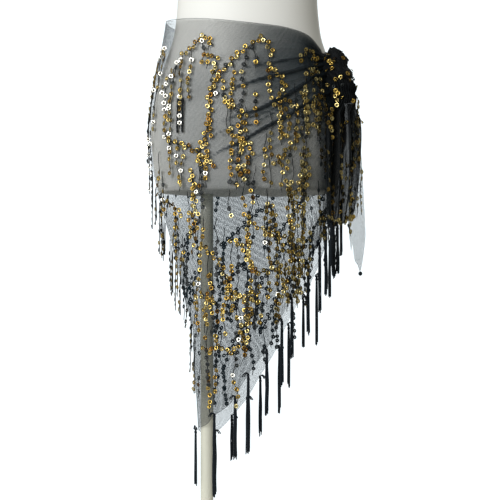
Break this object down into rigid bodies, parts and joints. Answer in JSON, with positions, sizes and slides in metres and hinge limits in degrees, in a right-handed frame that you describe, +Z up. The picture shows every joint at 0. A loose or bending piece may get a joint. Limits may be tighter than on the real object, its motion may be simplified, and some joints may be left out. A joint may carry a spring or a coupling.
{
  "type": "belly dance hip scarf on dress form stand",
  "caption": "Triangular net hip scarf with sequin sprays and long tassels, wound round a limbless dress form on a pole stand and knotted at one hip.",
  "frame": {"origin": "centre of the stand base's flat underside, on the pole's axis", "axes": "+Z up along the pole; +X to the right in the front view, towards the knot; +Y away from the front"},
  "size_m": [0.4457, 0.34, 1.1],
  "materials": {
    "form": "satin off-white shell",
    "stand": "glossy cream enamel",
    "net": "sheer black stretch net",
    "yarn": "twisted blue-black viscose yarn",
    "sequin": "gold foil cup sequin with a black back"
  },
  "bodies": {
    "root": {"dress_form": "form", "stand_base": "stand", "stand_pole": "stand", "scarf_front": "net", "scarf_back": "net", "knot": "net", "tail_front": "net", "tail_side": "net", "tip_bead": "yarn", "tassel_front_01": "yarn", "tassel_front_02": "yarn", "tassel_front_03": "yarn", "tassel_front_04": "yarn", "tassel_front_05": "yarn", "tassel_front_06": "yarn", "tassel_front_07": "yarn", "tassel_front_08": "yarn", "tassel_front_09": "yarn", "tassel_front_10": "yarn", "tassel_back_01": "yarn", "tassel_back_02": "yarn", "tassel_back_03": "yarn", "tassel_back_04": "yarn", "tassel_back_05": "yarn", "tassel_back_06": "yarn", "tassel_back_07": "yarn", "tassel_back_08": "yarn", "tassel_back_09": "yarn", "tassel_back_10": "yarn", "tassel_back_11": "yarn", "tassel_tail_01": "yarn", "tassel_tail_02": "yarn", "tassel_tail_03": "yarn"}
  },
  "joints": []
}
